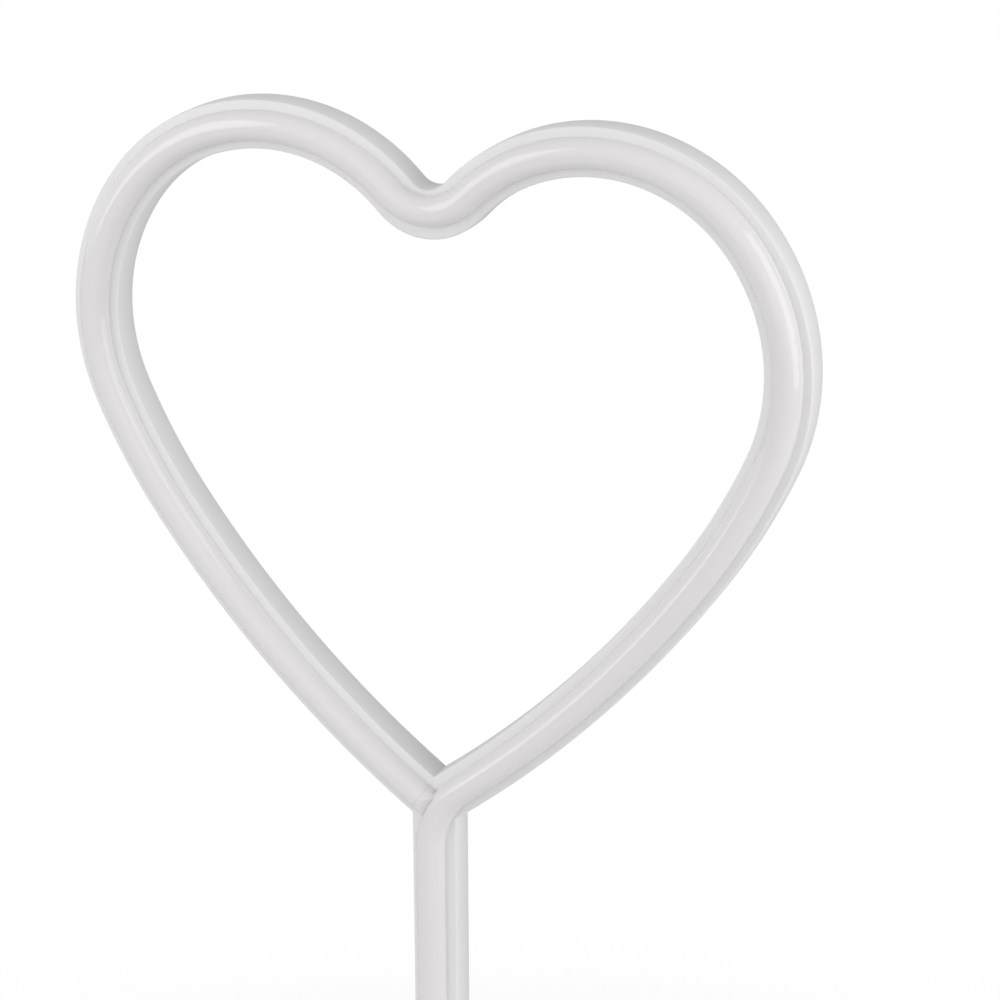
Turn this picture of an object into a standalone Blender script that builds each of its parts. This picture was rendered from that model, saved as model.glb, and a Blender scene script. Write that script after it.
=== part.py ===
"""Heart path light: a moulded heart and post with a lit tube let into the front, on a ground stake.

Metres, +Z up. The heart faces -Y. The origin lies on the post's axis at ground level.
Flat work is drawn in a plan of (across, up) points with a third value, front, that is 0 at the lips'
face and grows towards the viewer. stand() turns that plan upright.
"""
import itertools
import math

import bmesh
import bpy
from mathutils import Matrix

# Fits
FIT_GAP = 0.0003
CUT_PAST = 0.002
WELD_DISTANCE = 0.000002
HALVES_WELD = 0.00001

# Channel section, shared by the heart and the post
CHANNEL_WIDTH = 0.016
CHANNEL_DEPTH = 0.013
LIP_CROWN_WIDTH = 0.0025
LIP_CROWN_DROP = 0.001
BACK_CORNER_RADIUS = 0.003
FLOOR_THICKNESS = 0.0015
CAVITY_WIDTH = 0.010
RIM_WIDTH = 0.002

# Centreline of the heart: arcs from the cusp round to the tip, and the tip's height over the ground
TIP_HEIGHT = 0.320
CUSP_RADIUS = 0.0148
LOBE_SPREAD = 0.055
LOBE_RADIUS = 0.060
LOBE_TURN = math.radians(52.5)
SHOULDER_RADIUS = 0.070
SHOULDER_TURN = math.radians(61)
FLANK_RADIUS = 0.212
FLANK_TURN = math.radians(11.6)
SIDE_RADIUS = 0.383

# Lit tube, its light strip and the caps at its two ends
TUBE_WIDTH = 0.0096
TUBE_SEAT = 0.0048
TUBE_RISE = 0.0004
TUBE_CUSP_RADIUS = 0.0182
TUBE_SHIFT_IN_POST = 0.0009
TIP_BEND_RADIUS = 0.028
LEAD_CAP_LENGTH = 0.008
END_CAP_SEAM_TO_TIP = 0.005
END_CAP_ROUND = 0.0025
STRIP_WIDTH = 0.0064
STRIP_THICKNESS = 0.0006
STRIP_SLOT_HEIGHT = 0.003
LED_LENGTH = 0.0035
LED_WIDTH = 0.0028
LED_HEIGHT = 0.0008
LED_PITCH = 0.0333
SNOUT_RADIUS = 0.0022
SNOUT_REACH = 0.0005

# Back covers and their screws
COVER_THICKNESS = 0.002
COVER_INSET = 0.0002
NECK_LENGTH = 0.040
HEART_SCREWS_EACH_SIDE = 3
POST_SCREW_COUNT = 3
GLAND_TO_SCREW = 0.031
COVER_END_TO_SCREW = 0.018
SCREW_HEAD_RADIUS = 0.002
SCREW_HEAD_HEIGHT = 0.0009
SCREW_SHANK_RADIUS = 0.001
SCREW_LENGTH = 0.0045
BOSS_RADIUS = 0.0024

# Cord gland in the post's back, and the two lead wires that run to it
GLAND_OVER_SNOUT = 0.0253
GLAND_BORE_RADIUS = 0.0025
GLAND_WAIST_RADIUS = 0.0034
GLAND_FLANGE_RADIUS = 0.0045
GLAND_INNER_FLANGE = 0.0008
GLAND_OUTER_FLANGE = 0.0014
WIRE_RADIUS = 0.0006
WIRE_SPACING = 0.0022

# Ground stake
NECK_TOP = 0.010
FLANGE_WIDTH = 0.046
FLANGE_DEPTH = 0.034
FLANGE_THICKNESS = 0.003
FLANGE_CORNER_RADIUS = 0.009
SPIGOT_LENGTH = 0.032
SOCKET_FRONT_WALL = 0.003
SOCKET_ROOF = 0.0024
SPIGOT_CHAMFER = 0.0012
BLADE_WIDTH = 0.028
BLADE_THICKNESS = 0.003
BLADE_LENGTH = 0.165
BLADE_SHOULDER_WIDTH = 0.020
BLADE_POINT_LENGTH = 0.070
BLADE_POINT_WIDTH = 0.003

# How finely round work is cut
TURN_STEP = math.radians(8.5)
LONG_TURN_STEP = math.radians(3.7)
SMALL_TURN_STEP = math.radians(22.5)
SMOOTH_ANGLE = math.radians(35)
DOME_STEPS = 10
CROWN_STEPS = 3
CORNER_STEPS = 3
ROUND_SIDES = 12

# Levels of the section, measured along front from the lips' face
GROOVE_FLOOR = -(TUBE_SEAT + FIT_GAP)
CAVITY_TOP = GROOVE_FLOOR - FLOOR_THICKNESS
COVER_BACK = -(CHANNEL_DEPTH - COVER_INSET)
COVER_FRONT = COVER_BACK + COVER_THICKNESS
LEDGE = COVER_FRONT + FIT_GAP
GROOVE_HALF = TUBE_WIDTH / 2 + FIT_GAP
REBATE_HALF = CHANNEL_WIDTH / 2 - RIM_WIDTH
COVER_HALF = REBATE_HALF - FIT_GAP
POST_FOOT = NECK_TOP + FIT_GAP
SNOUT_BACK = CAVITY_TOP - SNOUT_REACH

# Heights up the post
SOCKET_TOP = NECK_TOP + SPIGOT_LENGTH + FIT_GAP
GROOVE_FOOT = SOCKET_TOP + SOCKET_ROOF
LEAD_CAP_FOOT = GROOVE_FOOT + FIT_GAP
TUBE_FOOT = LEAD_CAP_FOOT + LEAD_CAP_LENGTH + FIT_GAP
SNOUT_HEIGHT = LEAD_CAP_FOOT + LEAD_CAP_LENGTH / 2
GLAND_HEIGHT = SNOUT_HEIGHT + GLAND_OVER_SNOUT
COVER_SPLIT = TIP_HEIGHT - NECK_LENGTH


def new_collection(name, parent=None):
    """A collection under another one, or straight under the scene."""
    collection = bpy.data.collections.new(name)
    parent = parent or bpy.context.scene.collection
    parent.children.link(collection)
    return collection


def plastic(name, colour, roughness, transmission=0.0):
    """A Principled material for a moulded part."""
    material = bpy.data.materials.new(name)
    material.use_nodes = True
    shader = material.node_tree.nodes["Principled BSDF"]
    shader.inputs["Base Color"].default_value = (*colour, 1)
    shader.inputs["Roughness"].default_value = roughness
    shader.inputs["Transmission Weight"].default_value = transmission
    return material


def metal(name, colour, roughness):
    """A Principled material for bare or plated metal."""
    material = plastic(name, colour, roughness)
    material.node_tree.nodes["Principled BSDF"].inputs["Metallic"].default_value = 1
    return material


def place(name, mesh, collection, material=None):
    """An object for a mesh, shaded smooth across its shallow edges."""
    item = bpy.data.objects.new(name, mesh)
    collection.objects.link(item)
    mesh.shade_smooth()
    mesh.set_sharp_from_angle(angle=SMOOTH_ANGLE)
    if material:
        mesh.materials.clear()
        mesh.materials.append(material)
    return item


def make_cutter(item):
    """Marks an object as a tool for other pieces, not a piece itself."""
    item.hide_render = True
    item.display_type = "WIRE"
    return item


def stand(item):
    """Turns flat work upright: its front faces -Y and the section's middle lies over the origin."""
    item.rotation_euler = (math.pi / 2, 0, 0)
    item.location.y = -CHANNEL_DEPTH / 2
    return item


def cut(item, tool, operation="DIFFERENCE"):
    """A Boolean of one object with a tool, or with all the tools of a collection at once."""
    boolean = item.modifiers.new(tool.name, "BOOLEAN")
    boolean.operation = operation
    if isinstance(tool, bpy.types.Collection):
        boolean.operand_type = "COLLECTION"
        boolean.collection = tool
        boolean.use_self = True
    else:
        boolean.object = tool
    weld = item.modifiers.new(tool.name + "_weld", "WELD")
    weld.merge_threshold = WELD_DISTANCE


def arc(centre, radius, start, end, step):
    """Points along an arc from one polar angle to another, both ends included."""
    count = max(1, math.ceil(abs(end - start) / step))
    angles = [start + (end - start) * i / count for i in range(count + 1)]
    return [(centre[0] + radius * math.cos(a), centre[1] + radius * math.sin(a)) for a in angles]


def right_of(point, heading, distance):
    """The point at a distance to the right of a heading."""
    return (point[0] + distance * math.sin(heading), point[1] - distance * math.cos(heading))


def half_heart(cusp_radius):
    """The right half of a centreline of the heart from cusp to tip, and the centre of its side arc."""
    heading = math.asin(LOBE_SPREAD / (cusp_radius + LOBE_RADIUS))
    points = arc((0, cusp_radius), cusp_radius, -math.pi / 2, heading - math.pi / 2, TURN_STEP)
    bends = ((LOBE_RADIUS, heading + LOBE_TURN, TURN_STEP), (SHOULDER_RADIUS, SHOULDER_TURN, TURN_STEP),
             (FLANK_RADIUS, FLANK_TURN, LONG_TURN_STEP))
    for radius, turn, step in bends:
        centre = right_of(points[-1], heading, radius)
        start = heading + math.pi / 2
        points += arc(centre, radius, start, start - turn, step)[1:]
        heading -= turn
    centre = right_of(points[-1], heading, SIDE_RADIUS)
    tip_angle = -math.acos(-centre[0] / SIDE_RADIUS)
    points += arc(centre, SIDE_RADIUS, heading + math.pi / 2, tip_angle, LONG_TURN_STEP)[1:]
    lift = TIP_HEIGHT - points[-1][1]
    return [(x, z + lift) for x, z in points], (centre[0], centre[1] + lift)


def mirrored(points):
    """Points reflected across the heart's middle plane."""
    return [(-x, z) for x, z in points]


def past_middle(half):
    """The half heart run on across the middle plane at the cusp and at the tip."""
    before, tip = half[-2:]
    length = math.dist(before, tip)
    beyond = tuple(t + (t - b) * CHANNEL_WIDTH / length for b, t in zip(before, tip))
    return [mirrored(half)[1], *half, beyond]


def shortened(points, distance):
    """A path with a length taken off its far end."""
    points = list(points)
    while math.dist(points[-1], points[-2]) <= distance:
        distance -= math.dist(points[-1], points[-2])
        points.pop()
    share = distance / math.dist(points[-1], points[-2])
    points[-1] = tuple(e + (b - e) * share for e, b in zip(points[-1], points[-2]))
    return points


def station(points, distance):
    """The point and heading at a distance along a path."""
    for start, end in zip(points, points[1:]):
        length = math.dist(start, end)
        if distance <= length:
            break
        distance -= length
    share = distance / length
    point = tuple(s + (e - s) * share for s, e in zip(start, end))
    return point, math.atan2(end[1] - start[1], end[0] - start[0])


def path_length(points):
    """The length of a path of straight runs."""
    return sum(math.dist(start, end) for start, end in zip(points, points[1:]))


def tube_path(half, side_centre):
    """The tube's centreline in two runs: up the post and round the bend, then round the heart to the tip.

    In the post the tube lies a little to the left, which leaves room for a gentler bend.
    """
    across = TIP_BEND_RADIUS - TUBE_SHIFT_IN_POST
    reach = TIP_BEND_RADIUS + SIDE_RADIUS
    drop = math.sqrt(reach ** 2 - (across - side_centre[0]) ** 2)
    bend_end = math.atan2(drop, side_centre[0] - across)
    bend = arc((across, side_centre[1] - drop), TIP_BEND_RADIUS, math.pi, bend_end, TURN_STEP)
    upwards = itertools.dropwhile(lambda point: point[0] < bend[-1][0] + CUT_PAST, reversed(half))
    return [(-TUBE_SHIFT_IN_POST, TUBE_FOOT), *bend], [*upwards, *mirrored(half)[1:]]


def flat_curve(name, points, cyclic):
    """A flat curve through points."""
    curve = bpy.data.curves.new(name, "CURVE")
    curve.dimensions = "2D"
    curve.fill_mode = "NONE"
    spline = curve.splines.new("POLY")
    spline.points.add(len(points) - 1)
    for target, (x, y) in zip(spline.points, points):
        target.co = (x, y, 0, 1)
    spline.use_cyclic_u = cyclic
    return curve


def curve_to_mesh(name, curve, guides):
    """A curve's surface as a mesh with its caps welded on."""
    item = bpy.data.objects.new(name, curve)
    guides.objects.link(item)
    evaluated = item.evaluated_get(bpy.context.evaluated_depsgraph_get())
    mesh = bpy.data.meshes.new_from_object(evaluated)
    bpy.data.objects.remove(item)
    shape = bmesh.new()
    shape.from_mesh(mesh)
    bmesh.ops.remove_doubles(shape, verts=shape.verts, dist=WELD_DISTANCE / 2)
    bmesh.ops.recalc_face_normals(shape, faces=shape.faces)
    bmesh.ops.triangulate(shape, faces=shape.faces)
    shape.to_mesh(mesh)
    shape.free()
    mesh.name = name
    return mesh


def sweep(name, path, section, guides):
    """A solid swept along a flat path. The section is a closed outline of (across, front) points."""
    profile = bpy.data.objects.new(name + "_section", flat_curve(name + "_section", section, True))
    guides.objects.link(profile)
    rail = flat_curve(name, path, False)
    rail.bevel_mode = "OBJECT"
    rail.bevel_object = profile
    rail.use_fill_caps = True
    mesh = curve_to_mesh(name, rail, guides)
    bpy.data.objects.remove(profile)
    return mesh


def slab(name, outline, low, high, guides):
    """A flat outline given a thickness from one level to another."""
    curve = flat_curve(name, outline, True)
    curve.fill_mode = "BOTH"
    curve.extrude = (high - low) / 2
    mesh = curve_to_mesh(name, curve, guides)
    for vertex in mesh.vertices:
        vertex.co.z += (high + low) / 2
    return mesh


def mirror_half(item):
    """Completes a right half across the heart's middle plane."""
    mirror = item.modifiers.new("other_half", "MIRROR")
    mirror.use_axis = (True, False, False)
    mirror.use_bisect_axis = (True, False, False)
    mirror.merge_threshold = HALVES_WELD
    mirror.bisect_threshold = WELD_DISTANCE / 2
    return item


def rectangle(half_width, low, high):
    """A plain rectangular section."""
    return [(-half_width, low), (half_width, low), (half_width, high), (-half_width, high)]


def channel_section():
    """The channel's outside: crowned lips at the front, flat walls and rounded corners at the back."""
    half = CHANNEL_WIDTH / 2
    crown = []
    for i in range(CROWN_STEPS + 1):
        angle = math.pi / 2 * i / CROWN_STEPS
        across = half - LIP_CROWN_WIDTH * (1 - math.sin(angle))
        crown.append((across, -LIP_CROWN_DROP * (1 - math.cos(angle))))
    centre = (half - BACK_CORNER_RADIUS, BACK_CORNER_RADIUS - CHANNEL_DEPTH)
    corner = arc(centre, BACK_CORNER_RADIUS, 0, -math.pi / 2, math.pi / 2 / CORNER_STEPS)
    right = crown + corner
    return right + [(-x, y) for x, y in reversed(right)]


def hollow_section():
    """What is cut from the channel's back: the wire cavity and, behind its ledge, the cover's rebate."""
    cavity = CAVITY_WIDTH / 2
    below = -CHANNEL_DEPTH - CUT_PAST
    right = [(REBATE_HALF, below), (REBATE_HALF, LEDGE), (cavity, LEDGE), (cavity, CAVITY_TOP)]
    return right + [(-x, y) for x, y in reversed(right)]


def tube_section(slotted):
    """The tube's D outline, with the slot for its light strip where asked."""
    half = TUBE_WIDTH / 2
    dome = arc((0, TUBE_RISE), half, 0, math.pi, math.pi / DOME_STEPS)
    outline = [(half, -TUBE_SEAT), *dome, (-half, -TUBE_SEAT)]
    if slotted:
        slot = STRIP_WIDTH / 2 + FIT_GAP
        ceiling = STRIP_SLOT_HEIGHT - TUBE_SEAT
        outline += [(-slot, -TUBE_SEAT), (-slot, ceiling), (slot, ceiling), (slot, -TUBE_SEAT)]
    return outline


def clearance_section():
    """What the bend keeps clear of the end cap: the tube's width at the lips, flared to round the cap off."""
    crest = TUBE_RISE + TUBE_WIDTH / 2
    quarter = arc((0, 0), 1, 0, math.pi / 2, SMALL_TURN_STEP)
    flare = [(GROOVE_HALF + END_CAP_ROUND * (1 - x), crest * y) for x, y in quarter]
    right = [(GROOVE_HALF, GROOVE_FLOOR), *flare, (GROOVE_HALF + END_CAP_ROUND, crest + CUT_PAST)]
    return right + [(-x, y) for x, y in reversed(right)]


def cylinders(name, centres, radius, low, high):
    """Upright round bars in the plan, one at each centre, as one mesh."""
    mesh = bpy.data.meshes.new(name)
    shape = bmesh.new()
    for x, y in centres:
        made = bmesh.ops.create_cone(shape, cap_ends=True, segments=ROUND_SIDES,
                                     radius1=radius, radius2=radius, depth=high - low)
        bmesh.ops.translate(shape, verts=made["verts"], vec=(x, y, (high + low) / 2))
    shape.to_mesh(mesh)
    shape.free()
    return mesh


def box(name, size, centre):
    """A rectangular block."""
    mesh = bpy.data.meshes.new(name)
    shape = bmesh.new()
    made = bmesh.ops.create_cube(shape, size=1)
    bmesh.ops.scale(shape, verts=made["verts"], vec=size)
    bmesh.ops.translate(shape, verts=made["verts"], vec=centre)
    shape.to_mesh(mesh)
    shape.free()
    return mesh


def turned(name, outline, collection, material):
    """A closed outline of (radius, height) points turned about Z."""
    mesh = bpy.data.meshes.new(name)
    shape = bmesh.new()
    corners = [shape.verts.new((radius, 0, height)) for radius, height in outline]
    for first, second in zip(corners, corners[1:]):
        shape.edges.new((first, second))
    if outline[0][0] > 0:
        shape.edges.new((corners[-1], corners[0]))
    shape.to_mesh(mesh)
    shape.free()
    item = place(name, mesh, collection, material)
    screw = item.modifiers.new("turn", "SCREW")
    screw.steps = ROUND_SIDES
    screw.render_steps = ROUND_SIDES
    screw.use_merge_vertices = True
    screw.merge_threshold = HALVES_WELD
    return item


def post_run(low, high, across=0):
    """A straight path up the post."""
    return [(across, low), (across, high)]


def screw_places(half):
    """Plan positions of the heart cover's screws and of the post cover's screws."""
    pitch = path_length(half) / (HEART_SCREWS_EACH_SIDE + 1)
    right = [station(half, pitch * number)[0] for number in range(1, HEART_SCREWS_EACH_SIDE + 1)]
    heart = [half[0], *right, *mirrored(right)]
    lowest = GLAND_HEIGHT + GLAND_TO_SCREW
    spacing = (COVER_SPLIT - COVER_END_TO_SCREW - lowest) / (POST_SCREW_COUNT - 1)
    return heart, [(0, lowest + spacing * number) for number in range(POST_SCREW_COUNT)]


def housing_cuts(half, groove_line, bosses, tools, guides):
    """All that is cut from the moulding: groove, hollow back with its bosses left standing, and holes."""
    cuts = new_collection("housing_cuts", tools)
    below = POST_FOOT - CUT_PAST
    root = CAVITY_TOP + FLOOR_THICKNESS / 2
    pillars = cylinders("screw_bosses", bosses, BOSS_RADIUS, LEDGE, root)
    standing = make_cutter(stand(place("screw_bosses", pillars, tools)))

    def tool(name, mesh):
        return make_cutter(stand(place(name, mesh, cuts)))

    groove = rectangle(GROOVE_HALF, GROOVE_FLOOR, CUT_PAST)
    tool("tube_groove", sweep("tube_groove", [(-TUBE_SHIFT_IN_POST, GROOVE_FOOT), *groove_line[1:]], groove, guides))
    ring = tool("heart_hollow", sweep("heart_hollow", past_middle(half), hollow_section(), guides))
    mirror_half(ring)
    post = tool("post_hollow", sweep("post_hollow", post_run(below, TIP_HEIGHT), hollow_section(), guides))
    for hollow in (ring, post):
        cut(hollow, standing)
    socket = rectangle(CAVITY_WIDTH / 2, LEDGE, -SOCKET_FRONT_WALL)
    tool("stake_socket", sweep("stake_socket", post_run(below, SOCKET_TOP), socket, guides))
    depth = COVER_BACK + SCREW_LENGTH + FIT_GAP
    pilot = SCREW_SHANK_RADIUS + FIT_GAP
    tool("pilot_holes", cylinders("pilot_holes", bosses, pilot, LEDGE - CUT_PAST, depth))
    tool("snout_window", cylinders("snout_window", [(0, SNOUT_HEIGHT)], SNOUT_RADIUS + FIT_GAP,
                                   CAVITY_TOP - FIT_GAP, GROOVE_FLOOR + FIT_GAP))
    return cuts


def front_housing(half, groove_line, bosses, parts, tools, guides):
    """The white moulding: heart and post in one channel, grooved in front and hollow behind."""
    ring = sweep("front_housing", past_middle(half), channel_section(), guides)
    item = place("front_housing", ring, parts, plastic("white_abs", (0.80, 0.80, 0.81), 0.28))
    mirror_half(stand(item))
    post = sweep("post_body", post_run(POST_FOOT, TIP_HEIGHT), channel_section(), guides)
    cut(item, make_cutter(stand(place("post_body", post, tools))), "UNION")
    cut(item, housing_cuts(half, groove_line, bosses, tools, guides))
    return item


def drill_cover(item, screws, bores, tools):
    """Screw holes through a cover, with a recess for each head, and plain bores of other sizes."""
    holes = new_collection(item.name + "_holes", tools)
    low = COVER_BACK - CUT_PAST
    high = COVER_FRONT + CUT_PAST
    seat = COVER_BACK + SCREW_HEAD_HEIGHT + FIT_GAP
    drilled = [("shank_holes", screws, SCREW_SHANK_RADIUS + FIT_GAP, high),
               ("head_recesses", screws, SCREW_HEAD_RADIUS + FIT_GAP, seat)]
    drilled += [(name, [centre], radius, high) for name, centre, radius in bores]
    for name, centres, radius, top in drilled:
        mesh = cylinders(f"{item.name}_{name}", centres, radius, low, top)
        make_cutter(stand(place(mesh.name, mesh, holes)))
    cut(item, holes)


def back_covers(half, heart_places, post_places, material, parts, tools, guides):
    """The flat covers let into the back: one round the heart with a short neck, one down the post."""
    section = rectangle(COVER_HALF, COVER_BACK, COVER_FRONT)
    ring = past_middle(half)
    heart = place("heart_back_cover", sweep("heart_back_cover", ring, section, guides), parts, material)
    mirror_half(stand(heart))
    neck = sweep("cover_neck", post_run(COVER_SPLIT, TIP_HEIGHT), section, guides)
    cut(heart, make_cutter(stand(place("cover_neck", neck, tools))), "UNION")
    drill_cover(heart, heart_places, [], tools)
    strip = sweep("post_back_cover", post_run(POST_FOOT, COVER_SPLIT - FIT_GAP), section, guides)
    post = stand(place("post_back_cover", strip, parts, material))
    gland = ("gland_hole", (0, GLAND_HEIGHT), GLAND_WAIST_RADIUS + FIT_GAP)
    drill_cover(post, post_places, [gland], tools)
    return [heart, post]


def cover_screws(heart_places, post_places, material, parts):
    """One pan head screw in each cover hole, point towards the front."""
    outline = [(0, SCREW_LENGTH), (SCREW_SHANK_RADIUS, SCREW_LENGTH - SCREW_SHANK_RADIUS),
               (SCREW_SHANK_RADIUS, SCREW_HEAD_HEIGHT), (SCREW_HEAD_RADIUS, SCREW_HEAD_HEIGHT),
               (SCREW_HEAD_RADIUS, 0), (0, 0)]
    screws = []
    for group, places in (("heart", heart_places), ("post", post_places)):
        for number, (x, z) in enumerate(places, 1):
            screw = turned(f"{group}_cover_screw_{number}", outline, parts, material)
            screw.rotation_euler = (math.pi / 2, 0, 0)
            screw.location = (x, -CHANNEL_DEPTH / 2 - COVER_BACK, z)
            screws.append(screw)
    return screws


def neon_tube(path, material, parts, guides):
    """The milky tube, slotted underneath for its light strip."""
    return stand(place("neon_tube", sweep("neon_tube", path, tube_section(True), guides), parts, material))


def light_strip(path, parts, tools, guides):
    """The flexible light strip in the tube's slot, with its row of emitters."""
    base = -TUBE_SEAT
    top = base + STRIP_THICKNESS
    section = rectangle(STRIP_WIDTH / 2, base, top)
    strip = stand(place("led_strip", sweep("led_strip", path, section, guides), parts,
                        plastic("strip_white", (0.75, 0.74, 0.68), 0.5)))
    mesh = bpy.data.meshes.new("led_emitters")
    shape = bmesh.new()
    length = path_length(path)
    count = int((length - LED_PITCH) // LED_PITCH) + 1
    first = (length - (count - 1) * LED_PITCH) / 2
    for number in range(count):
        (x, y), heading = station(path, first + number * LED_PITCH)
        made = bmesh.ops.create_cube(shape, size=1)
        size = (LED_LENGTH, LED_WIDTH, LED_HEIGHT + STRIP_THICKNESS / 2)
        bmesh.ops.scale(shape, verts=made["verts"], vec=size)
        bmesh.ops.rotate(shape, verts=made["verts"], matrix=Matrix.Rotation(heading, 3, "Z"))
        middle = top + LED_HEIGHT - size[2] / 2
        bmesh.ops.translate(shape, verts=made["verts"], vec=(x, y, middle))
    shape.to_mesh(mesh)
    shape.free()
    cut(strip, make_cutter(stand(place("led_emitters", mesh, tools))), "UNION")
    return strip


def end_cap(lead_in, round_heart, material, parts, tools, guides):
    """The cap on the tube's far end, rounded off where it comes up to the bend at the heart's tip."""
    seam = shortened(round_heart, END_CAP_SEAM_TO_TIP)[-1]
    mesh = sweep("tube_end_cap", [seam, round_heart[-1]], tube_section(False), guides)
    cap = stand(place("tube_end_cap", mesh, parts, material))
    bend = sweep("bend_clearance", [*lead_in, round_heart[0]], clearance_section(), guides)
    cut(cap, make_cutter(stand(place("bend_clearance", bend, tools))))
    return cap


def lead_cap(material, parts, tools, guides):
    """The cap on the tube's lower end, with a snout that takes the wires through the channel's floor."""
    run = post_run(LEAD_CAP_FOOT, LEAD_CAP_FOOT + LEAD_CAP_LENGTH, -TUBE_SHIFT_IN_POST)
    body = sweep("tube_lead_cap", run, tube_section(False), guides)
    cap = stand(place("tube_lead_cap", body, parts, material))
    snout = cylinders("lead_snout", [(0, SNOUT_HEIGHT)], SNOUT_RADIUS, SNOUT_BACK, 0)
    cut(cap, make_cutter(stand(place("lead_snout", snout, tools))), "UNION")
    return cap


def lead_wire(name, across, material, parts):
    """One wire from the lead cap's snout, up behind the floor and into the cord gland."""
    start = SNOUT_BACK - FIT_GAP
    run = COVER_FRONT + FIT_GAP + GLAND_INNER_FLANGE + FIT_GAP + WIRE_RADIUS
    bend = start - run
    lower = arc((SNOUT_HEIGHT + bend, start), bend, math.pi, math.pi * 1.5, SMALL_TURN_STEP)
    upper = arc((GLAND_HEIGHT - bend, run - bend), bend, math.pi / 2, 0, SMALL_TURN_STEP)
    route = [*lower, *upper, (GLAND_HEIGHT, COVER_FRONT - COVER_THICKNESS / 4)]
    curve = bpy.data.curves.new(name, "CURVE")
    curve.dimensions = "3D"
    curve.bevel_depth = WIRE_RADIUS
    curve.bevel_resolution = 1
    curve.use_fill_caps = True
    spline = curve.splines.new("POLY")
    spline.points.add(len(route) - 1)
    for target, (height, front) in zip(spline.points, route):
        target.co = (across, height, front, 1)
    wire = bpy.data.objects.new(name, curve)
    curve.materials.append(material)
    parts.objects.link(wire)
    return stand(wire)


def cord_gland(parts):
    """The rubber gland in the post's back, grooved to grip the cover."""
    inner = COVER_FRONT + FIT_GAP
    outer = COVER_BACK - FIT_GAP
    outline = [(GLAND_FLANGE_RADIUS, inner + GLAND_INNER_FLANGE), (GLAND_FLANGE_RADIUS, inner),
               (GLAND_WAIST_RADIUS, inner), (GLAND_WAIST_RADIUS, outer),
               (GLAND_FLANGE_RADIUS, outer), (GLAND_FLANGE_RADIUS, outer - GLAND_OUTER_FLANGE),
               (GLAND_BORE_RADIUS, outer - GLAND_OUTER_FLANGE),
               (GLAND_BORE_RADIUS, inner + GLAND_INNER_FLANGE)]
    gland = turned("cord_gland", outline, parts, plastic("grey_rubber", (0.55, 0.55, 0.56), 0.7))
    stand(gland)
    gland.location.z = GLAND_HEIGHT
    return gland


def rounded_rectangle(width, depth, radius):
    """An outline with rounded corners, centred on the plan's origin."""
    outline = []
    for quarter, (side, end) in enumerate(((1, 1), (-1, 1), (-1, -1), (1, -1))):
        centre = (side * (width / 2 - radius), end * (depth / 2 - radius))
        start = quarter * math.pi / 2
        outline += arc(centre, radius, start, start + math.pi / 2, SMALL_TURN_STEP)
    return outline


def blade_outline():
    """One stake blade seen flat: full width at the flange, narrowing to a blunt point."""
    half = BLADE_WIDTH / 2
    tip = BLADE_POINT_WIDTH / 2
    shoulder = BLADE_POINT_LENGTH - BLADE_LENGTH
    top = FLANGE_THICKNESS / 2
    right = [(half, top), (half, 0), (BLADE_SHOULDER_WIDTH / 2, shoulder), (tip, -BLADE_LENGTH)]
    return right + [(-x, y) for x, y in reversed(right)]


def ground_stake(parts, tools, guides):
    """The stake: crossed blades under a foot flange, a neck that carries the post, and a spigot."""
    flange = rounded_rectangle(FLANGE_WIDTH, FLANGE_DEPTH, FLANGE_CORNER_RADIUS)
    stake = place("ground_stake", slab("ground_stake", flange, 0, FLANGE_THICKNESS, guides), parts,
                  plastic("stake_abs", (0.78, 0.78, 0.79), 0.4))
    neck = rounded_rectangle(CHANNEL_WIDTH, CHANNEL_DEPTH, BACK_CORNER_RADIUS)
    neck_mesh = slab("stake_neck", neck, FLANGE_THICKNESS / 2, NECK_TOP, guides)
    cut(stake, make_cutter(place("stake_neck", neck_mesh, tools)), "UNION")
    half = BLADE_THICKNESS / 2
    for name, turn in (("wide_blade", 0), ("cross_blade", math.pi / 2)):
        blade = make_cutter(place(name, slab(name, blade_outline(), -half, half, guides), tools))
        blade.rotation_euler = (math.pi / 2, 0, turn)
        cut(stake, blade, "UNION")
    front = -SOCKET_FRONT_WALL - FIT_GAP
    back = LEDGE + FIT_GAP
    size = (CAVITY_WIDTH - 2 * FIT_GAP, front - back, SPIGOT_LENGTH + FLANGE_THICKNESS)
    centre = (0, -CHANNEL_DEPTH / 2 - (front + back) / 2, NECK_TOP + SPIGOT_LENGTH - size[2] / 2)
    spigot = make_cutter(place("stake_spigot", box("stake_spigot", size, centre), tools))
    chamfer = spigot.modifiers.new("chamfer", "BEVEL")
    chamfer.width = SPIGOT_CHAMFER
    chamfer.segments = 1
    cut(stake, spigot, "UNION")
    return stake


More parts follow.
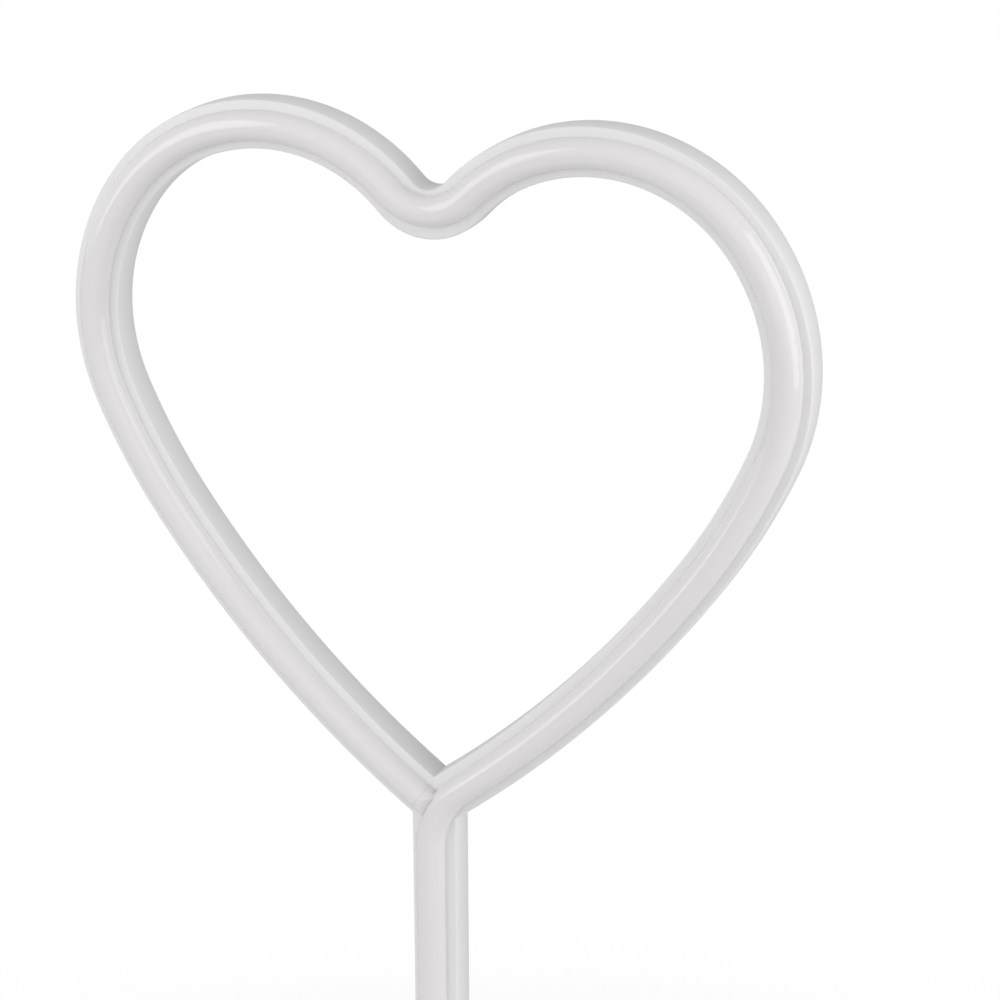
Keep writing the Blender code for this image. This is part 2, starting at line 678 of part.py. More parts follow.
def build():
    """Makes every piece and hangs the lift-off light on an empty that stands on the slide's axis."""
    for item in list(bpy.data.objects):
        bpy.data.objects.remove(item)
    parts = new_collection("heart_path_light")
    tools = new_collection("cutters")
    guides = new_collection("guides")

    half, _ = half_heart(CUSP_RADIUS)
    lead_in, round_heart = tube_path(*half_heart(TUBE_CUSP_RADIUS))
    groove_line = [*lead_in, *round_heart]
    tube_line = shortened(groove_line, END_CAP_SEAM_TO_TIP + FIT_GAP)
    heart_places, post_places = screw_places(half)

    milky = plastic("milky_silicone", (0.76, 0.74, 0.745), 0.32, 0.2)
    white = plastic("white_cover", (0.80, 0.80, 0.81), 0.35)
    steel = metal("zinc_steel", (0.66, 0.66, 0.66), 0.35)
    pieces = [front_housing(half, groove_line, heart_places + post_places, parts, tools, guides)]
    pieces += back_covers(half, heart_places, post_places, white, parts, tools, guides)
    pieces += cover_screws(heart_places, post_places, steel, parts)
    pieces.append(neon_tube(tube_line, milky, parts, guides))
    pieces.append(light_strip(tube_line, parts, tools, guides))
    pieces.append(end_cap(lead_in, round_heart, milky, parts, tools, guides))
    pieces.append(lead_cap(milky, parts, tools, guides))
    red = plastic("red_insulation", (0.6, 0.03, 0.03), 0.45)
    black = plastic("black_insulation", (0.02, 0.02, 0.02), 0.45)
    pieces.append(lead_wire("lead_wire_red", WIRE_SPACING / 2, red, parts))
    pieces.append(lead_wire("lead_wire_black", -WIRE_SPACING / 2, black, parts))
    pieces.append(cord_gland(parts))

    lift = bpy.data.objects.new("light_lift", None)
    parts.objects.link(lift)
    for piece in pieces:
        piece.parent = lift
    ground_stake(parts, tools, guides)


build()
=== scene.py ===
"""Looks of the heart path light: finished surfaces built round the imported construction, and a plain studio.

Metres, +Z up. The heart faces -Y, and the origin lies on the post's axis at ground level.
Flat work is drawn in a plan of (across, up) points. A section is a closed outline of (across, front)
points, where front is 0 at the lips' face and grows towards the viewer. upright() turns a plan up.
"""
import itertools
import math
from collections import namedtuple

import bmesh
import bpy
from bpy.props import FloatProperty, FloatVectorProperty, PointerProperty
from bpy.types import Operator, Panel, PropertyGroup
from mathutils import Euler, Matrix, Vector


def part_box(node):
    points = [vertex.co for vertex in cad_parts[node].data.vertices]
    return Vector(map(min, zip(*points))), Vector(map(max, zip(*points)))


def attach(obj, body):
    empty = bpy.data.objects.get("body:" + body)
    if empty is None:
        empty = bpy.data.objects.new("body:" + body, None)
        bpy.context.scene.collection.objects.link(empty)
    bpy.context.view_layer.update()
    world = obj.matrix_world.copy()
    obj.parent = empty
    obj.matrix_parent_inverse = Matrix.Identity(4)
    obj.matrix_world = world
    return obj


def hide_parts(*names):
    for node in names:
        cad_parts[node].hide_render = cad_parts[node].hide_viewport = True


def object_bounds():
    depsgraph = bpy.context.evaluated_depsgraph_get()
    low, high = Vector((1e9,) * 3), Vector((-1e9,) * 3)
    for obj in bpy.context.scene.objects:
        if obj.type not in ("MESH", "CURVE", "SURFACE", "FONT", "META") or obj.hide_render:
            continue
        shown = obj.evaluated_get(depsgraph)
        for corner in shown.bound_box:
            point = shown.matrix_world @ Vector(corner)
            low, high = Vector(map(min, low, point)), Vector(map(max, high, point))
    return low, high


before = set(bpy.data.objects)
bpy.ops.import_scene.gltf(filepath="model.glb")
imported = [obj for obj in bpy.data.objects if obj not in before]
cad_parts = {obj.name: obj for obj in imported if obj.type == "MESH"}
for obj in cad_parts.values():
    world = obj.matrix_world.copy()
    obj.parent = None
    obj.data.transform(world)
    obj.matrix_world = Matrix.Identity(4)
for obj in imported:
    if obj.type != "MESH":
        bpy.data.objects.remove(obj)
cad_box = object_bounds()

bl_info = {
    "name": "Heart path light",
    "version": (1, 0, 0),
    "blender": (4, 5, 0),
    "location": "3D View > Sidebar > Heart light",
    "description": "Builds a heart-shaped path light with a milky light tube on a ground stake",
    "category": "Add Mesh",
}

MM = 0.001

# How finely round work is cut
TURN_STEP = math.radians(3)
LONG_TURN_STEP = math.radians(1)
SMALL_TURN_STEP = math.radians(15)
RING_TURN_STEP = math.radians(7.5)
LATHE_STEPS = 48
POST_STEP = 0.008
CAP_STEPS = 6
WALL_STEPS = 8
RIM_STEPS = 3
CHAMFER_STEPS = 2

# Distances below which points are one, and how far a cutter runs past what it cuts
WELD = 0.000002
HALVES_WELD = 0.00001
CUT_PAST = 0.002

# Turn of an edge from which it is shaded sharp, and from which a rim is rounded
SMOOTH_ANGLE = math.radians(28)
RIM_ANGLE = math.radians(60)

# Polar angle at which the skirt's hollow starts on the lips
SKIRT_START = -math.radians(110)

# Painted shade: share of the housing's colour that is left at its back, so the walls darken towards the back
# as if lit less
PAINTED_BACK_SHADE = 0.8

# Nearly all of a noise texture lies between these
NOISE_SPAN = (0.3, 0.7)

# Softboxes: degrees right of the front and over the heart's level, width and height in metres, and watts
SOFTBOXES = {"left_softbox": (-42, 18, 0.6, 1.0, 4.2), "right_softbox": (84, 13, 0.9, 1.2, 6.9)}
LAMP_AIM = (0, 0, 0.42)
LAMP_DISTANCE = 1.2

# The way to the dim end of the room
ROOM_BACK = (0, 0.965, -0.26)

# The floor's radius and corners, how far it lies under the stake's point, and where it turns white
FLOOR_RADIUS = 6
FLOOR_CORNERS = 96
FLOOR_DROP = 0.001
FLOOR_FADE = (0.25, 0.9)

# The covers' screws, and the seed of the angles at which their slots stand
SCREW_NODES = sorted(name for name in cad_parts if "_cover_screw_" in name)
SCREW_SEED = 4

Levels = namedtuple("Levels", "groove cavity back front ledge")
Coat = namedtuple("Coat", "material tree shader place")


def linear(code):
    """An sRGB hex colour as linear red, green and blue."""
    shares = [int(code[i:i + 2], 16) / 255 for i in (0, 2, 4)]
    return [s / 12.92 if s <= 0.04045 else ((s + 0.055) / 1.055) ** 2.4 for s in shares]


def length(name, description, millimetres):
    """A length whose default is given in millimetres."""
    return FloatProperty(name=name, description=description, default=millimetres / 1000,
                         unit="LENGTH", precision=5)


def turn(name, description, degrees):
    """An angle whose default is given in degrees."""
    return FloatProperty(name=name, description=description, default=math.radians(degrees), unit="ROTATION")


def colour(name, description, code):
    """A colour whose default is an sRGB hex value."""
    return FloatVectorProperty(name=name, description=description, default=linear(code),
                               subtype="COLOR", size=3, min=0, max=1)


class ChannelSizes(PropertyGroup):
    """Section of the white channel, shared by the heart and the post."""
    gap: length("Fit gap", "Clearance between pieces that fit together", 0.3)
    width: length("Width", "Across both walls", 15.9)
    bow: length("Wall bow", "How far the walls swell between lip and back corner", 0.15)
    depth: length("Depth", "From the lips' face to the back", 13)
    lip_width: length("Lip", "Width of the lips beside the tube", 3.2)
    lip_fall: length("Lip fall", "How far the lips fall from the tube to their rounding", 0.45)
    crown_width: length("Crown width", "How far in the lip's rounding starts", 0.8)
    crown_drop: length("Crown drop", "How far back the lip's rounding ends", 0.7)
    corner_radius: length("Back corner", "Radius of the back corners", 3)
    floor: length("Floor", "Thickness between groove and cavity", 1.5)
    cavity_width: length("Cavity", "Width of the wire cavity", 10)
    rim: length("Rim", "Thickness of the wall beside the covers", 2)


class HeartSizes(PropertyGroup):
    """Centreline of the heart as arcs from the cusp to the tip."""
    tip_height: length("Tip height", "Height of the tip over the ground", 320)
    cusp_radius: length("Cusp radius", "Radius in the notch between the lobes", 14.8)
    lobe_spread: length("Lobe spread", "Distance of a lobe's centre from the middle", 55)
    lobe_radius: length("Lobe radius", "Radius over the top of a lobe", 60)
    lobe_turn: turn("Lobe turn", "Turn from the top of a lobe to its shoulder", 52.5)
    shoulder_radius: length("Shoulder radius", "Radius at the widest place", 70)
    shoulder_turn: turn("Shoulder turn", "Turn at the widest place", 61)
    flank_radius: length("Flank radius", "Radius between the shoulder and the long side", 212)
    flank_turn: turn("Flank turn", "Turn between the shoulder and the long side", 11.6)
    side_radius: length("Side radius", "Radius of the long side down to the tip", 383)


class TubeSizes(PropertyGroup):
    """Milky light tube and its caps."""
    width: length("Width", "Across the tube", 9.6)
    seat: length("Seat", "Depth of the tube in its groove", 4.8)
    rise: length("Rise", "Height of the straight side over the lips", 0.4)
    cusp_radius: length("Cusp radius", "Radius of the tube in the notch between the lobes", 18.2)
    post_shift: length("Post shift", "How far left of the post's middle the tube lies", 0.9)
    bend_radius: length("Bend", "Radius of the bend from the post into the right limb", 28)
    seam_to_tip: length("Seam", "Distance from the tip to the seam of the far end's cap", 5)
    cap_round: length("Cap round", "How far the far end's cap slopes down to the bend", 2.5)
    cap_meets: turn("Cap meets", "How far up the bend's flank the cap's slope ends", 38)
    edge_round: length("Edge", "Rounding where a cap or the tube ends", 0.12)
    fit: length("Fit", "Clearance of the tube pressed into its groove", 0.01)
    skirt: length("Skirt", "Radius of the hollow from the tube's flank to the lips", 0.35)
    slot_width: length("Slot width", "Width of the slot for the light strip", 7)
    slot_height: length("Slot height", "Height of the slot for the light strip", 3)


class CoverSizes(PropertyGroup):
    """Back covers, their screws and the cord gland."""
    thickness: length("Thickness", "Thickness of the covers", 2)
    inset: length("Inset", "How far the covers lie under the rim", 0.2)
    edge: length("Edge", "Rounding of the covers' edges", 0.35)
    head_radius: length("Head radius", "Radius of the screw heads", 2)
    head_height: length("Head height", "Height of the screw heads", 0.9)
    shank_radius: length("Shank radius", "Radius of the screw shanks", 1)
    drive_length: length("Drive length", "Length of the screw heads' cross slots", 2.2)
    drive_width: length("Drive width", "Width of the screw heads' cross slots", 0.45)
    drive_depth: length("Drive depth", "Depth of the screw heads' cross slots", 0.55)
    gland_bore: length("Gland bore", "Radius of the gland's bore", 2.5)
    gland_waist: length("Gland waist", "Radius of the gland where it passes the cover", 3.4)
    gland_round: length("Gland rounding", "Rounding of the gland's flanges", 0.4)


class StakeSizes(PropertyGroup):
    """Ground stake."""
    neck_top: length("Neck top", "Height of the neck that carries the post", 10)
    flange_thickness: length("Flange", "Thickness of the foot flange", 3)
    flange_corner: length("Flange corner", "Radius of the flange's corners", 9)
    flange_edge: length("Flange edge", "Rounding of the flange's edges", 0.8)
    blade_width: length("Blade width", "Width of the blades at the flange", 28)
    shoulder_width: length("Shoulder width", "Width of the blades where the point starts", 20)
    point_length: length("Point length", "Length of the blades' point", 70)
    point_width: length("Point width", "Width of the blades' blunt end", 3)
    blade_thickness: length("Blade thickness", "Thickness of the blades", 3)
    blade_edge: length("Blade edge", "Rounding of the blades' edges", 0.7)
    front_wall: length("Front wall", "Wall of the post in front of the spigot", 3)
    spigot_chamfer: length("Spigot chamfer", "Chamfer of the spigot", 1.2)


class FinishColours(PropertyGroup):
    """Colours of the finishes."""
    housing: colour("Housing", "White of the moulded channel", "E6E5E6")
    tube: colour("Tube", "Milky white of the tube", "E1DFDF")
    cover: colour("Covers", "White of the back covers", "E2E2E3")
    stake: colour("Stake", "White of the stake", "E0E0E1")
    gland: colour("Gland", "Grey of the rubber gland", "C2C2C4")
    screw: colour("Screws", "Zinc plating", "D5D6D6")
    red_wire: colour("Red wire", "Insulation of the positive wire", "B4232A")
    black_wire: colour("Black wire", "Insulation of the negative wire", "232325")
    strip: colour("Strip", "Solder mask of the light strip", "E4E3DC")
    floor: colour("Floor", "Pale studio floor", "EDEDED")


class StageSettings(PropertyGroup):
    """Camera and light."""
    camera_place: FloatVectorProperty(name="Camera", description="Where the camera stands",
                                      default=(0.38678, -0.91614, 0.76439), subtype="TRANSLATION")
    camera_yaw: turn("Yaw", "Turn of the camera to the left", 21.743)
    camera_pitch: turn("Pitch", "Tilt of the camera downwards", 18.923)
    camera_roll: turn("Roll", "Roll of the camera", -0.258)
    lens: FloatProperty(name="Lens", description="Focal length in millimetres", default=118.52)
    front_strength: FloatProperty(name="Front", description="Light from the room in front", default=0.862)
    back_strength: FloatProperty(name="Back", description="Light from the room behind", default=0.19)


class HeartLight(PropertyGroup):
    """All that a user may change."""
    channel: PointerProperty(type=ChannelSizes)
    heart: PointerProperty(type=HeartSizes)
    tube: PointerProperty(type=TubeSizes)
    cover: PointerProperty(type=CoverSizes)
    stake: PointerProperty(type=StakeSizes)
    colours: PointerProperty(type=FinishColours)
    stage: PointerProperty(type=StageSettings)


# Paths in the plan

def arc(centre, radius, start, end, step):
    """Points along an arc from one polar angle to another, both ends included."""
    count = max(1, math.ceil(abs(end - start) / step - WELD))
    angles = [start + (end - start) * i / count for i in range(count + 1)]
    return [(centre[0] + radius * math.cos(a), centre[1] + radius * math.sin(a)) for a in angles]


def right_of(point, heading, distance):
    """The point at a distance to the right of a heading."""
    return (point[0] + distance * math.sin(heading), point[1] - distance * math.cos(heading))


def mirrored(points):
    """Points reflected across the heart's middle plane."""
    return [(-x, z) for x, z in points]


def half_heart(heart, cusp_radius):
    """The right half of a centreline of the heart from cusp to tip, and the centre of its side arc."""
    quarter = math.pi / 2
    heading = math.asin(heart.lobe_spread / (cusp_radius + heart.lobe_radius))
    points = arc((0, cusp_radius), cusp_radius, -quarter, heading - quarter, TURN_STEP)
    bends = ((heart.lobe_radius, heading + heart.lobe_turn, TURN_STEP),
             (heart.shoulder_radius, heart.shoulder_turn, TURN_STEP),
             (heart.flank_radius, heart.flank_turn, LONG_TURN_STEP))
    for radius, bend, step in bends:
        centre = right_of(points[-1], heading, radius)
        points += arc(centre, radius, heading + quarter, heading + quarter - bend, step)[1:]
        heading -= bend
    centre = right_of(points[-1], heading, heart.side_radius)
    tip = -math.acos(-centre[0] / heart.side_radius)
    points += arc(centre, heart.side_radius, heading + quarter, tip, LONG_TURN_STEP)[1:]
    lift = heart.tip_height - points[-1][1]
    return [(x, z + lift) for x, z in points], (centre[0], centre[1] + lift)


def post_run(low, high, across=0):
    """A straight path up the post in short steps, so that shading at one end stays there."""
    count = math.ceil((high - low) / POST_STEP)
    return [(across, low + (high - low) * i / count) for i in range(count + 1)]


def past_middle(half, distance):
    """The half heart run on across the middle plane at the cusp and at the tip."""
    before, tip = half[-2:]
    share = distance / math.dist(before, tip)
    beyond = tuple(t + (t - b) * share for b, t in zip(before, tip))
    return [mirrored(half)[1], *half, beyond]


def tube_path(light, foot):
    """The tube's centreline in two runs: up the post and round the bend, then round the heart."""
    tube = light.tube
    half, side_centre = half_heart(light.heart, tube.cusp_radius)
    across = tube.bend_radius - tube.post_shift
    reach = tube.bend_radius + light.heart.side_radius
    drop = math.sqrt(reach ** 2 - (across - side_centre[0]) ** 2)
    end = math.atan2(drop, side_centre[0] - across)
    bend = arc((across, side_centre[1] - drop), tube.bend_radius, math.pi, end, TURN_STEP)
    upwards = itertools.dropwhile(lambda point: point[0] < bend[-1][0] + CUT_PAST, reversed(half))
    return [*post_run(foot, bend[0][1], -tube.post_shift), *bend[1:]], [*upwards, *mirrored(half)[1:]]


def shortened(points, distance):
    """A path with a length taken off its far end."""
    points = list(points)
    while math.dist(points[-1], points[-2]) <= distance:
        distance -= math.dist(points[-1], points[-2])
        points.pop()
    share = distance / math.dist(points[-1], points[-2])
    points[-1] = tuple(e + (b - e) * share for e, b in zip(points[-1], points[-2]))
    return points


# Sections

def both_sides(right):
    """A closed outline from its right half."""
    return right + [(-x, y) for x, y in reversed(right)]


def channel_section(channel):
    """The channel's outside: lips with a slight fall, slightly bowed walls and rounded corners."""
    edge = channel.width / 2 - channel.bow
    radius, fall = channel.corner_radius, channel.lip_fall
    width, drop = channel.crown_width, channel.crown_drop
    lean = math.atan(4 * channel.bow / (channel.depth - radius - drop - fall))
    meets = math.atan(math.tan(lean) * drop / width)
    starts = math.atan2(drop * channel.lip_width, width * fall)
    lip = (channel.width / 2 - channel.lip_width, 0)
    crown = [(edge + width * (x - math.cos(meets)), drop * (y - 1) - fall)
             for x, y in arc((0, 0), 1, starts, meets, SMALL_TURN_STEP)]
    corner = arc((edge - radius * math.cos(lean), radius - channel.depth), radius, -lean, -math.pi / 2,
                 SMALL_TURN_STEP)
    top, bottom = crown[-1][1], corner[0][1]
    shares = [i / WALL_STEPS for i in range(1, WALL_STEPS)]
    wall = [(edge + channel.bow * 4 * u * (1 - u), top + (bottom - top) * u) for u in shares]
    return both_sides([lip, *crown, *wall, *corner])


def levels(light):
    """Levels of the section along front: groove floor, cavity top, covers' back and front, and ledge."""
    groove = -light.tube.seat - light.tube.fit
    back = light.cover.inset - light.channel.depth
    front = back + light.cover.thickness
    return Levels(groove, groove - light.channel.floor, back, front, front + light.channel.gap)


def groove_section(light):
    """What is cut for the tube, which is pressed in tight."""
    half = light.tube.width / 2 + light.tube.fit
    return both_sides([(half, levels(light).groove), (half, CUT_PAST)])


def hollow_section(light):
    """What is cut from the back: the wire cavity and, behind its ledge, the covers' rebate."""
    channel, level = light.channel, levels(light)
    rebate = channel.width / 2 - channel.rim
    cavity = channel.cavity_width / 2
    return both_sides([(rebate, -channel.depth - CUT_PAST), (rebate, level.ledge),
                       (cavity, level.ledge), (cavity, level.cavity)])


def tube_section(tube, slotted):
    """The tube's D outline, and where asked its skirt on the lips and its strip's slot."""
    half, seat = tube.width / 2, -tube.seat
    dome = arc((0, tube.rise), half, 0, math.pi, SMALL_TURN_STEP / 2)
    outline = [(half, seat), *dome, (-half, seat)]
    if slotted:
        hollow = (half + tube.skirt, tube.fit + tube.skirt)
        skirt = [(half, tube.fit), *arc(hollow, tube.skirt, SKIRT_START, -math.pi, SMALL_TURN_STEP)]
        outline[1:1] = skirt
        outline[-1:-1] = [(-x, y) for x, y in reversed(skirt)]
        slot = tube.slot_width / 2
        ceiling = tube.slot_height - tube.seat
        outline += [(-slot, seat), (-slot, ceiling), (slot, ceiling), (slot, seat)]
    return outline


def clearance_section(tube):
    """What the bend clears from the far end's cap: its flank, and over that a slope to the cap's top."""
    half = tube.width / 2 + tube.fit
    crest = tube.rise + tube.width / 2
    flank = arc((0, tube.rise), half, 0, tube.cap_meets, SMALL_TURN_STEP / 2)
    (x, y), end = flank[-1], half + tube.cap_round
    shares = [i / CAP_STEPS for i in range(1, CAP_STEPS + 1)]
    slope = [(x + (end - x) * s, y + (crest - y) * math.sin(s * math.pi / 2)) for s in shares]
    skirt = half + tube.skirt
    return both_sides([(skirt, -2 * tube.seat), (skirt, tube.rise), *flank, *slope, (end, 2 * crest)])


def cover_section(light):
    """A cover's section with its back edges rounded."""
    level, edge = levels(light), light.cover.edge
    half = light.channel.width / 2 - light.channel.rim - light.channel.gap
    rounded = arc((half - edge, level.back + edge), edge, 0, -math.pi / 2, SMALL_TURN_STEP * 2)
    return both_sides([(half, level.front), *rounded])


# Node trees and meshes

def add(tree, kind, links=None, values=None, feeds=None, **settings):
    """Adds a node with its settings, what its inputs are linked to or set to, and what its result feeds."""
    node = tree.nodes.new(kind)
    for name, value in settings.items():
        setattr(node, name, value)
    for socket, source in (links or {}).items():
        tree.links.new(source, node.inputs[socket])
    for socket, value in (values or {}).items():
        node.inputs[socket].default_value = value
    if feeds:
        tree.links.new(node.outputs[0], feeds)
    return node


def geometry_tree(name, **inputs):
    """A Geometry Nodes tree with named inputs besides its geometry."""
    tree = bpy.data.node_groups.new(name, "GeometryNodeTree")
    tree.interface.new_socket("Geometry", in_out="INPUT", socket_type="NodeSocketGeometry")
    for label, kind in inputs.items():
        tree.interface.new_socket(label, in_out="INPUT", socket_type=kind)
    tree.interface.new_socket("Geometry", in_out="OUTPUT", socket_type="NodeSocketGeometry")
    return tree


def end_tree(tree, given, geometry):
    """Makes a tree's result real, gives it the material asked for and hands it out."""
    real = add(tree, "GeometryNodeRealizeInstances", {"Geometry": geometry})
    painted = add(tree, "GeometryNodeSetMaterial",
                  {"Geometry": real.outputs["Geometry"], "Material": given.outputs["Material"]})
    add(tree, "NodeGroupOutput", {"Geometry": painted.outputs["Geometry"]})
    return tree


def sweep_tree():
    """Sweeps a section along a rail, and stores how far along and round each point lies, in metres."""
    tree = geometry_tree("sweep_section", Section="NodeSocketObject", Material="NodeSocketMaterial")
    given = add(tree, "NodeGroupInput")
    run = add(tree, "GeometryNodeSplineParameter")
    rail = add(tree, "GeometryNodeStoreNamedAttribute",
               {"Geometry": given.outputs["Geometry"], "Value": run.outputs["Length"]},
               {"Name": "along"})
    shape = add(tree, "GeometryNodeObjectInfo", {"Object": given.outputs["Section"]})
    section = add(tree, "GeometryNodeStoreNamedAttribute",
                  {"Geometry": shape.outputs["Geometry"], "Value": run.outputs["Length"]},
                  {"Name": "around"})
    swept = add(tree, "GeometryNodeCurveToMesh",
                {"Curve": rail.outputs["Geometry"], "Profile Curve": section.outputs["Geometry"]},
                {"Fill Caps": True})
    merged = add(tree, "GeometryNodeMergeByDistance", {"Geometry": swept.outputs["Mesh"]},
                 {"Distance": WELD})
    return end_tree(tree, given, merged.outputs["Geometry"])


def scatter_tree():
    """Sets one copy of an object on every point, each turned about its own axis by chance."""
    tree = geometry_tree("set_on_points", Copy="NodeSocketObject", Seed="NodeSocketInt",
                         Material="NodeSocketMaterial")
    given = add(tree, "NodeGroupInput")
    copy = add(tree, "GeometryNodeObjectInfo", {"Object": given.outputs["Copy"]})
    spin = add(tree, "FunctionNodeRandomValue", {"Seed": given.outputs["Seed"]},
               {0: (0, 0, 0), 1: (0, 0, 2 * math.pi)}, data_type="FLOAT_VECTOR")
    placed = add(tree, "GeometryNodeInstanceOnPoints",
                 {"Points": given.outputs["Geometry"], "Instance": copy.outputs["Geometry"],
                  "Rotation": spin.outputs["Value"]})
    return end_tree(tree, given, placed.outputs["Instances"])


def use_tree(carrier, make, **inputs):
    """Puts a node tree on an object as a modifier, with its inputs set by their sockets' identifiers."""
    modifier = carrier.modifiers.new("nodes", "NODES")
    modifier.node_group = make()
    items = modifier.node_group.interface.items_tree
    sockets = {item.name: item.identifier for item in items if item.in_out == "INPUT"}
    for name, value in inputs.items():
        modifier[sockets[name]] = value


def link(name, data):
    """An object for some data, linked to the scene."""
    item = bpy.data.objects.new(name, data)
    bpy.context.scene.collection.objects.link(item)
    return item


def plain_mesh(item):
    """The evaluated shape of an object as a plain mesh. The object goes."""
    bpy.context.view_layer.update()
    graph = bpy.context.evaluated_depsgraph_get()
    mesh = bpy.data.meshes.new_from_object(item.evaluated_get(graph), depsgraph=graph)
    bpy.data.objects.remove(item)
    return mesh


def flat_curve(name, points, cyclic):
    """A flat curve through points."""
    curve = bpy.data.curves.new(name, "CURVE")
    curve.dimensions = "2D"
    curve.fill_mode = "NONE"
    spline = curve.splines.new("POLY")
    spline.points.add(len(points) - 1)
    for target, (x, y) in zip(spline.points, points):
        target.co = (x, y, 0, 1)
    spline.use_cyclic_u = cyclic
    return link(name, curve)


def upright(mesh, light):
    """Turns flat work up: its front faces -Y and the section's middle lies over the origin."""
    raised = Matrix.Rotation(math.pi / 2, 4, "X")
    mesh.transform(Matrix.Translation((0, -light.channel.depth / 2, 0)) @ raised)
    return mesh


def sweep(name, path, section, light, material=None, cyclic=False):
    """An upright solid swept along a path in the plan."""
    profile = flat_curve(name + "_section", [(x, -y) for x, y in reversed(section)], True)
    rail = flat_curve(name, path, cyclic)
    use_tree(rail, sweep_tree, Section=profile, Material=material)
    mesh = plain_mesh(rail)
    bpy.data.objects.remove(profile)
    return link(name, upright(mesh, light))


def mesh_of(name, shape):
    """A mesh from a bmesh, which goes."""
    mesh = bpy.data.meshes.new(name)
    shape.to_mesh(mesh)
    shape.free()
    return mesh


def block(name, sizes, centre=(0, 0, 0)):
    """A box about a centre."""
    shape = bmesh.new()
    made = bmesh.ops.create_cube(shape, size=1)["verts"]
    bmesh.ops.scale(shape, verts=made, vec=sizes)
    bmesh.ops.translate(shape, verts=made, vec=centre)
    return link(name, mesh_of(name, shape))


def rods(name, centres, radius, low, high, light):
    """Upright round bars through the plan, one at each centre, as one object."""
    shape = bmesh.new()
    for x, y in centres:
        made = bmesh.ops.create_cone(shape, cap_ends=True, segments=LATHE_STEPS,
                                     radius1=radius, radius2=radius, depth=high - low)
        bmesh.ops.translate(shape, verts=made["verts"], vec=(x, y, (high + low) / 2))
    return link(name, upright(mesh_of(name, shape), light))


def round_rims(item, width, steps=RIM_STEPS):
    """Rounds an object's sharp rims, and leaves it with a plain mesh."""
    name = item.name
    bevel = item.modifiers.new("rim", "BEVEL")
    bevel.width = width
    bevel.segments = steps
    bevel.limit_method = "ANGLE"
    bevel.angle_limit = RIM_ANGLE
    return link(name, plain_mesh(item))


def mirror_half(item):
    """Completes a right half across the heart's middle plane."""
    mirror = item.modifiers.new("other_half", "MIRROR")
    mirror.use_axis = (True, False, False)
    mirror.use_bisect_axis = (True, False, False)
    mirror.merge_threshold = HALVES_WELD
    mirror.bisect_threshold = WELD
    return item


def combine(item, tools, operation):
    """Joins all tools to an object, or cuts them all from it, and leaves it with a plain mesh."""
    name = item.name
    group = bpy.data.collections.new("tools")
    bpy.context.scene.collection.children.link(group)
    for tool in tools:
        group.objects.link(tool)
    boolean = item.modifiers.new(operation, "BOOLEAN")
    boolean.operation = operation
    boolean.operand_type = "COLLECTION"
    boolean.collection = group
    boolean.use_self = True
    mesh = plain_mesh(item)
    for tool in tools:
        bpy.data.objects.remove(tool)
    bpy.data.collections.remove(group)
    return link(name, mesh)


def finish(item, material, body, slot, *nodes):
    """Cleans a piece's mesh, shades it, and sets it on its body in place of the nodes it stands for."""
    mesh = item.data
    shape = bmesh.new()
    shape.from_mesh(mesh)
    bmesh.ops.remove_doubles(shape, verts=shape.verts, dist=WELD)
    bmesh.ops.dissolve_degenerate(shape, edges=shape.edges, dist=WELD)
    shape.to_mesh(mesh)
    shape.free()
    mesh.shade_smooth()
    mesh.set_sharp_from_angle(angle=SMOOTH_ANGLE)
    mesh.materials.clear()
    mesh.materials.append(material)
    weighted = item.modifiers.new("flat_faces_first", "WEIGHTED_NORMAL")
    weighted.keep_sharp = True
    item = link(item.name, plain_mesh(item))
    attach(item, body)
    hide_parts(*nodes)


# Finishes

def grain(millimetres):
    """The scale of a texture whose features are that size."""
    return 1000 / millimetres


def new_finish(name, values=None):
    """A material with its shader's plain values set, and its Object coordinates."""
    material = bpy.data.materials.new(name)
    material.use_nodes = True
    tree = material.node_tree
    shader = tree.nodes["Principled BSDF"]
    for socket, value in (values or {}).items():
        shader.inputs[socket].default_value = value
    return Coat(material, tree, shader, add(tree, "ShaderNodeTexCoord").outputs["Object"])


def cloudy(coat, tone, change, size):
    """Lets a colour drift a little darker over patches of a size in millimetres, and gives its socket."""
    noise = add(coat.tree, "ShaderNodeTexNoise", {"Vector": coat.place},
                {"Scale": grain(size), "Detail": 3.0})
    darker = [c * (1 - change) for c in tone]
    mix = add(coat.tree, "ShaderNodeMix", {0: noise.outputs["Fac"]}, {6: (*darker, 1), 7: (*tone, 1)},
              data_type="RGBA")
    coat.tree.links.new(mix.outputs[2], coat.shader.inputs["Base Color"])
    return mix.outputs[2]


def rough_between(coat, low, high, size):
    """Lets the roughness drift between two values over patches of a size in millimetres."""
    noise = add(coat.tree, "ShaderNodeTexNoise", {"Vector": coat.place},
                {"Scale": grain(size), "Detail": 2.0})
    least, most = NOISE_SPAN
    add(coat.tree, "ShaderNodeMapRange", {"Value": noise.outputs["Fac"]},
        {"From Min": least, "From Max": most, "To Min": low, "To Max": high},
        coat.shader.inputs["Roughness"])


